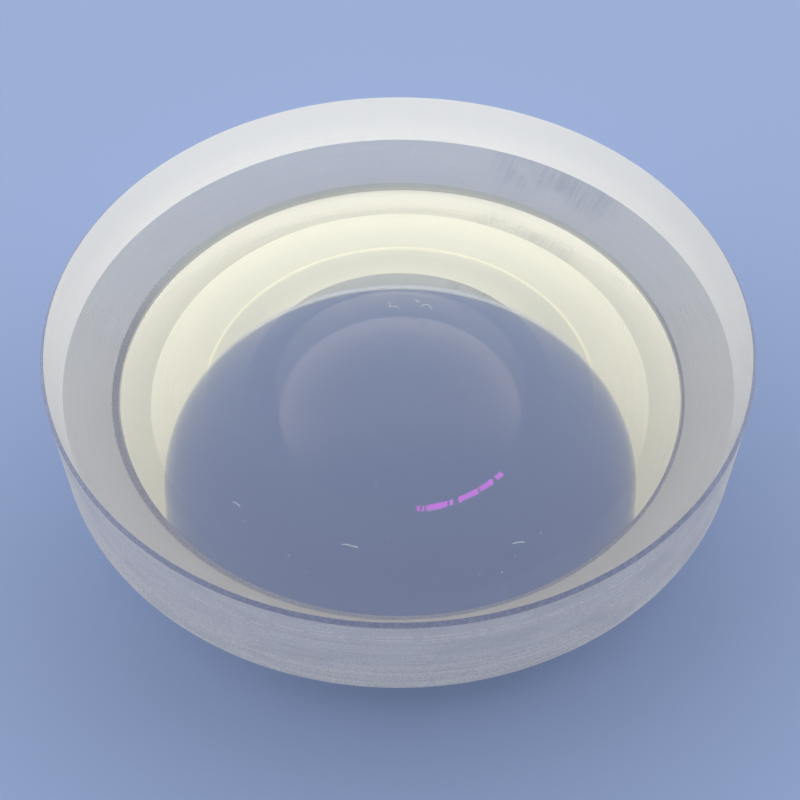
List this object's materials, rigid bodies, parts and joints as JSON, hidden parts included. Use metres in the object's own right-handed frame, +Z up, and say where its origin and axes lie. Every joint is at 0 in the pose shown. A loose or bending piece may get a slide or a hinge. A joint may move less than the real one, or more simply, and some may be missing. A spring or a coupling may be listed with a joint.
{
  "type": "biconcave lens",
  "caption": "Thick round biconcave lens with a shallow upper face, a deep hollow underneath, a frosted edge and a wide frosted bevel down to a narrow foot ring.",
  "frame": {"origin": "centre of the foot ring's plane, on the axis of the ground edge", "axes": "+Z up along the lens axis, from the foot ring to the upper face; X and Y are radial, and the deep hollow is ground slightly off the axis, towards +X and -Y"},
  "size_m": [0.1, 0.1, 0.0227],
  "materials": {
    "glass": "polished on both faces, frosted on the edge, bevel, chamfer and foot"
  },
  "bodies": {
    "root": {"lens": "glass"}
  },
  "joints": []
}
